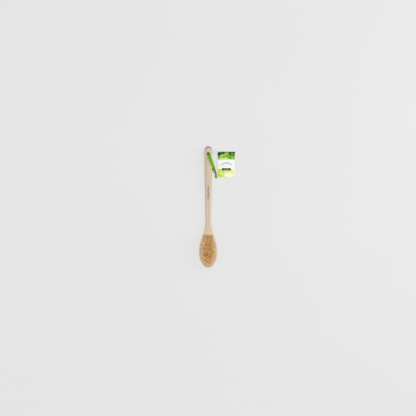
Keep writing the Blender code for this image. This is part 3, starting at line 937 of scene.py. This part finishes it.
def hang_ribbon(material):
    """The loop's ribbon, from the knot through the handle's hole and back to the knot."""
    side = UP.cross(TOWARDS_KNOT)
    rows = []
    for distance, shift, height, width, roll, slant, arch, pleat in RIBBON_ROUTE:
        offset = TOWARDS_KNOT * distance + side * shift + UP * height
        centre = place(0, LOOP_HOLE_AT, 0) + offset * MM
        rows.append((*centre, radians(roll), slant, width, arch, pleat))
    route = smooth_route(rows, RIBBON_STEP * MM)
    centres = [Vector(p[:3]) for p in route]
    sides = []
    for along, (roll, slant) in zip(directions(centres), route[:, 3:5]):
        sides.append(Matrix.Rotation(roll, 3, along) @ (side - TOWARDS_KNOT * slant))
    return ribbon_strip("ribbon_loop", centres, sides, route[:, 5:], material), centres[::8]


def ribbon_tail(name, rows, taper, material):
    """One free end of the ribbon, gathered lengthwise and cut on a slant."""
    placed = [(*place(x, s, z), width, TAIL_ARCH, TAIL_PLEAT) for x, s, z, width in rows]
    route = smooth_route(placed, RIBBON_STEP * MM)
    centres = [Vector(p[:3]) for p in route]
    sides = [UP.cross(along).normalized() for along in directions(centres)]
    return ribbon_strip(name, centres, sides, route[:, 3:], material, taper)


def knot(name, centre, heading, size, strand, material):
    """An overhand knot: a gathered strand round a trefoil path, squashed into size."""
    turn = Matrix.Rotation(heading, 3, "Z")
    path = []
    for i in range(KNOT_STEPS):
        t = tau * i / KNOT_STEPS
        x = (sin(t) + 2 * sin(2 * t)) / 3 * size[0]
        y = (cos(t) - 2 * cos(2 * t)) / 3 * size[1]
        path.append(turn @ Vector((x, y, -sin(3 * t) * size[2])))
    rings = []
    for i, point in enumerate(path):
        along = (path[(i + 1) % KNOT_STEPS] - path[i - 1]).normalized()
        side = along.cross(UP).normalized()
        up = side.cross(along)
        ring = []
        for k in range(KNOT_SIDES):
            a = tau * k / KNOT_SIDES
            fold = 1 + 0.16 * cos(4 * a) + 0.05 * cos(7 * a + i * 0.4)
            wide, deep = strand[0] * cos(a) * fold, strand[1] * sin(a) * fold
            ring.append(centre + (point + side * wide + up * deep) * MM)
        rings.append(ring)
    bm = bmesh.new()
    weave = bm.loops.layers.uv.new("weave")
    add_rings(bm, rings, closed=True)
    bm.verts.index_update()

    def unrolled(vert):
        ring, k = divmod(vert.index, KNOT_SIDES)
        return ring * KNOT_RUN * MM, (k / KNOT_SIDES - 0.5) * RIBBON_WIDTH * MM

    set_uv(bm, weave, unrolled)
    return add_object(name, bm, material, sharp=60)


# ---- string and card


def tag_string(material):
    """Two plies twisted round each other along the string's route."""
    route = smooth_route([place(*point) for point in STRING_ROUTE], STRING_STEP * MM)
    centres = [Vector(p) for p in route]
    side = Vector((1, 0, 0))
    run = 0.0
    rings = ([], [])
    for i, (centre, along) in enumerate(zip(centres, directions(centres))):
        side = (side - along * side.dot(along)).normalized()
        up = along.cross(side)
        run += (centre - centres[i - 1]).length if i else 0.0
        for strand in (0, 1):
            turn = tau * run / (TWIST_PITCH * MM) + pi * strand
            middle = centre + (side * cos(turn) + up * sin(turn)) * (PLY_OFFSET * MM)
            ring = []
            for k in range(PLY_SIDES):
                a = tau * k / PLY_SIDES
                ring.append(middle + (side * cos(a) + up * sin(a)) * (PLY_RADIUS * MM))
            rings[strand].append(ring)
    bm = bmesh.new()
    for strand in rings:
        add_rings(bm, strand)
    return add_object("twisted_string", bm, material, sharp=60), route[::6]


def card_height(x, y):
    """How far the card's face bows up from its plane, x and y being 0 to 1 across and up."""
    return TAG_BOW_ACROSS * x * (1 - x) + TAG_BOW_UP * sin(pi * y) * x


def card_waist(down):
    """How far each side of the card is drawn in, at down from its top."""
    if down < TAG_WAIST_BELOW_TOP:
        return TAG_WAIST_IN * down / TAG_WAIST_BELOW_TOP
    return TAG_WAIST_IN * (TAG_HEIGHT - down) / (TAG_HEIGHT - TAG_WAIST_BELOW_TOP)


def tag_card(front, plain):
    """The waisted card with its punched hole and slight bow."""
    bm = bmesh.new()
    art = bm.loops.layers.uv.new("art")
    grid = {}
    for level in (0, 1):
        for j in range(TAG_ROWS + 1):
            down = (1 - j / TAG_ROWS) * TAG_HEIGHT
            waist = card_waist(down)
            for i in range(TAG_COLUMNS + 1):
                x = CARD_LEFT + waist + (TAG_WIDTH - 2 * waist) * i / TAG_COLUMNS
                y = TAG_TOP - down - TAG_HOLE_S
                point = Vector((x, y, level * TAG_THICKNESS)) * MM
                grid[level, j, i] = bm.verts.new(point)

    def add_face(places, slot):
        bm.faces.new([grid[spot] for spot in places]).material_index = slot

    for j in range(TAG_ROWS):
        for i in range(TAG_COLUMNS):
            square = [(j, i), (j, i + 1), (j + 1, i + 1), (j + 1, i)]
            for level in (0, 1):
                add_face([(level, *corner) for corner in square], 1 - level)
    for j in range(TAG_ROWS):
        for i in (0, TAG_COLUMNS):
            add_face([(0, j, i), (0, j + 1, i), (1, j + 1, i), (1, j, i)], 1)
    for i in range(TAG_COLUMNS):
        for j in (0, TAG_ROWS):
            add_face([(0, j, i), (0, j, i + 1), (1, j, i + 1), (1, j, i)], 1)
    set_uv(bm, art, lambda vert: (vert.co.x - CARD_LEFT * MM, vert.co.y - CARD_BOTTOM * MM))
    card = add_object("printed_card", bm, front, plain, sharp=40)
    bm = bmesh.new()
    add_rings(bm, [circle(Vector((0, 0, z * MM)), TAG_HOLE_RADIUS, 40) for z in (-1, 2)])
    cut(card, add_object("card_punch", bm, plain))
    lay_on_card(card, 0.0)
    return card


def lay_on_card(piece, lift):
    """Bow a flat piece, drawn about the card's hole, like the card and put it in its place."""
    for vert in piece.data.vertices:
        x = (vert.co.x / MM - CARD_LEFT) / TAG_WIDTH
        y = (vert.co.y / MM - CARD_BOTTOM) / TAG_HEIGHT
        vert.co.z += (card_height(x, y) + lift - TAG_THICKNESS / 2) * MM
    lean = Matrix.Rotation(TAG_TILT, 4, Vector((0.82, 0.57, 0)))
    move = Matrix.Translation(place(TAG_HOLE_X, TAG_HOLE_S, TAG_HEIGHT_AT_HOLE))
    piece.data.transform(move @ lean)


def leaf(length, width, steps=8):
    """A pointed leaf's outline along +X, from its base at the origin."""
    top = []
    for i in range(steps + 1):
        t = i / steps
        top.append((length * t, width / 2 * sin(pi * t) ** 0.8))
    return top + [(x, -y) for x, y in top[-2:0:-1]]


def add_flat(bm, points, depth):
    """A thin closed plate with this outline, its lower face at the points' heights."""
    add_rings(bm, [[p * MM for p in points], [(p + UP * depth) * MM for p in points]])


def turned(points, angle, x, y):
    """Outline points turned by an angle in degrees and moved to x, y."""
    c, s = cos(radians(angle)), sin(radians(angle))
    return [Vector((x + px * c - py * s, y + px * s + py * c, 0)) for px, py in points]


def handle_sprig(material):
    """A small printed sprig along the handle: a stem with pairs of leaves, and one at its tip."""
    length = SPRIG_TO - SPRIG_FROM
    stem = [(0, -0.22), (length - 4, -0.16), (length - 4, 0.16), (0, 0.22)]
    shapes = [turned(stem, 90, 0, SPRIG_FROM)]
    for i in range(SPRIG_LEAVES):
        at = SPRIG_FROM + 3 + (length - 8) * i / (SPRIG_LEAVES - 1)
        for side in (-1, 1):
            blade = leaf(5.6 - 0.16 * i, SPRIG_LEAF_WIDTH)
            shapes.append(turned(blade, 90 - side * SPRIG_LEAF_ANGLE, side * 0.15, at))
    shapes.append(turned(leaf(5, SPRIG_LEAF_WIDTH), 90, 0, SPRIG_TO - 5))
    bm = bmesh.new()
    for shape in shapes:
        points = []
        for p in shape:
            front = back_height(p.y) + thickness(p.y)
            points.append(Vector((p.x, p.y - LENGTH / 2, front - SPRIG_SUNK)))
        add_flat(bm, points, SPRIG_DEPTH)
    return add_object("handle_sprig", bm, material, sharp=30)


def card_label(material):
    """A thin plate with rounded corners, in narrow strips so that it can bow with the card."""
    straight = LABEL_HALF - LABEL_CORNER
    ends = [straight + LABEL_CORNER * sin(radians(a)) for a in range(0, 91, 15)]
    places = [*[-p for p in ends], *np.linspace(-straight, straight, 20), *ends]
    rings = []
    for p in sorted(set(round(p, 4) for p in places)):
        past = max(0.0, abs(p) - straight)
        rise = sqrt(max(LABEL_CORNER**2 - past**2, 1e-4))
        rise += LABEL_HALF_HEIGHT - LABEL_CORNER
        corners = ((-rise, 0), (rise, 0), (rise, LABEL_DEPTH), (-rise, LABEL_DEPTH))
        x, y = CARD_MIDDLE + p, CARD_BOTTOM + LABEL_AT
        rings.append([Vector((x, y + b, z)) * MM for b, z in corners])
    bm = bmesh.new()
    add_rings(bm, rings)
    return add_object("card_label", bm, material, sharp=30)


def leaf_plates(name, leaves, material):
    """Printed leaves, each given as (angle, length, width, x, y) and just above the one before."""
    bm = bmesh.new()
    for i, (angle, length, width, x, y) in enumerate(leaves):
        shape = turned(leaf(length, width), angle, x, y)
        add_flat(bm, [p + Vector((0, 0, PRINT_STEP * i)) for p in shape], PRINT_DEPTH)
    return add_object(name, bm, material, sharp=30)


def arch_leaves():
    """The card's pale arch: leaves in pairs down both sides of it, and a garland below its top."""
    leaves = []
    for side in (-1, 1):
        for i in range(6):
            t = (i + 1.3) / 7
            slope = degrees(atan2(-2 * ARCH_DROP * t, ARCH_HALF))
            x = CARD_MIDDLE + side * (ARCH_HALF * t - 2)
            y = CARD_BOTTOM + ARCH_TOP - ARCH_DROP * t * t
            for lean, length in ((30, 4.2), (-26, 3.2)):
                angle = slope + lean if side > 0 else 180 - slope - lean
                leaves.append((angle, length, 2.0, x, y))
    for i in range(8):
        x = CARD_MIDDLE - 7 + 2 * i
        leaves.append((155 - 18.5 * i, 6.0, 3.2, x, CARD_BOTTOM + GARLAND_AT))
    return leaves


def leaf_row(count, lean, length, width, first, pitch, height):
    """Leaves in a level row, leaning up and down by turns, as leaf_plates takes them."""
    left, y = CARD_MIDDLE + first, CARD_BOTTOM + height
    return [((-1) ** i * lean, length, width, left + pitch * i, y) for i in range(count)]


def card_shapes(pale, faint, dark, light):
    """Generic printed shapes on the card: a pale sprig arch with fainter leaves below it, a dark
    label with a small leaf garland, and pale discs."""
    sprig = leaf_plates("card_sprig", arch_leaves(), pale)
    under = leaf_row(11, 16, 5.2, 2.6, -20, 3.4, UNDER_LEAVES_AT)
    leaves = leaf_plates("card_leaves", under, faint)

    label = card_label(dark)
    garland = leaf_row(8, 32, 2.5, 1.1, -8, 1.9, LABEL_AT)
    ornament = leaf_plates("label_leaves", garland, pale)

    bm = bmesh.new()
    turns = np.linspace(0, tau, 28, False)
    disc = [(DISC_RADIUS * cos(a), DISC_RADIUS * sin(a)) for a in turns]
    for i in range(4):
        x = CARD_LEFT + FIRST_DISC + DISC_PITCH * i
        add_flat(bm, turned(disc, 0, x, CARD_BOTTOM + DISC_AT), PRINT_DEPTH)
    discs = add_object("card_discs", bm, light, sharp=30)
    for piece in (sprig, leaves, label, discs):
        lay_on_card(piece, TAG_THICKNESS)
    lay_on_card(ornament, TAG_THICKNESS + LABEL_DEPTH)
    return sprig, leaves, label, ornament, discs


# ---- camera, floor and light


def add_camera():
    """A camera straight above the brush."""
    camera = bpy.data.cameras.new("camera")
    camera.lens = LENS
    camera.sensor_width = SENSOR
    made = add_to_scene("camera", camera)
    distance = VIEW_WIDTH * LENS / SENSOR
    made.location = Vector((*VIEW_CENTRE, distance)) * MM
    bpy.context.scene.camera = made


def add_floor():
    """The plain floor, a hair below the brush's back."""
    bm = bmesh.new()
    bmesh.ops.create_grid(bm, x_segments=8, y_segments=8, size=FLOOR_SIZE)
    floor = add_object("floor", bm, floor_material())
    floor.location.z = -FLOOR_DROP * MM


def add_area_light(name, energy, size, spot):
    """A soft square lamp at spot, facing the brush."""
    light = bpy.data.lights.new(name, "AREA")
    light.energy = energy
    light.size = size
    made = add_to_scene(name, light)
    made.location = spot
    made.rotation_euler = (-Vector(spot)).to_track_quat("-Z", "Y").to_euler()


def add_lights():
    """Two soft lamps and an even white sky."""
    add_area_light("key_right", *KEY_LIGHT)
    add_area_light("soft_top", *TOP_LIGHT)
    world = bpy.data.worlds.new("studio")
    world.use_nodes = True
    background = world.node_tree.nodes["Background"]
    background.inputs["Color"].default_value = (1.0, 1.0, 1.0, 1.0)
    background.inputs["Strength"].default_value = WORLD_LIGHT
    bpy.context.scene.world = world
    bpy.context.scene.view_settings.view_transform = "Standard"


# ---- the object


def build_brush():
    """The body with its sprig, the wire anchors and the tufts."""
    rows = tufts()
    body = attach(wood_body(rows, wood_material()), "brush")
    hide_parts("brush_body")
    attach(handle_sprig(sprig_material()), "brush")
    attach(anchor_wires(rows, wire_material()), "brush")
    rng = np.random.default_rng(FIBRE_SEED)
    fibre = fibre_material()
    for number, row in enumerate(rows, start=1):
        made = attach(fibre_row(number, row, rng, fibre), "brush")
        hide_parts(f"bristle_row_{number:02d}")


def build_loop():
    """The ribbon loop, its knot and its two ends."""
    green = ribbon_material()
    ribbon, path = hang_ribbon(green)
    centre = place(0, LOOP_HOLE_AT, KNOT_HEIGHT) + TOWARDS_KNOT * KNOT_FROM_HOLE * MM
    shape = (RIBBON_HEADING, RIBBON_KNOT_SIZE, RIBBON_KNOT_STRAND)
    tied = knot("ribbon_overhand_knot", centre, *shape, green)
    front = ribbon_tail("ribbon_end_front", TAIL_FRONT_ROUTE, TAIL_FRONT_SLANT, green)
    back = ribbon_tail("ribbon_end_back", TAIL_BACK_ROUTE, TAIL_BACK_SLANT, green)
    nodes = ("hang_ribbon", "ribbon_knot", "ribbon_tail_front", "ribbon_tail_back")
    for piece, node in zip((ribbon, tied, front, back), nodes):
        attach(piece, "hang_loop")
        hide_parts(node)


def build_tag():
    """The string with its knot, and the printed card."""
    white = string_material()
    string, path = tag_string(white)
    middle = back_height(LOOP_HOLE_AT) + thickness(LOOP_HOLE_AT) / 2
    centre = place(0, LOOP_HOLE_AT, middle)
    tied = knot("string_overhand_knot", centre, 0, STRING_KNOT_SIZE, STRING_KNOT_STRAND, white)
    for piece, node in ((string, "tag_string"), (tied, "string_knot")):
        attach(piece, "tag_line")
        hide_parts(node)
    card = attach(tag_card(card_print(), card_paper()), "tag")
    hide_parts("tag_card")
    pale = ink_material("pale_ink", "#acbdb8", "#c2cfcb")
    faint = ink_material("faint_ink", "#e9f0da", "#f1f6e6")
    dark = ink_material("dark_green_ink", "#004a2c", "#085c3a")
    light = ink_material("light_ink", "#ecf3c4", "#f4f8da")
    for piece in card_shapes(pale, faint, dark, light):
        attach(piece, "tag")


add_camera()
build_loop()
build_tag()
build_brush()
add_floor()
add_lights()
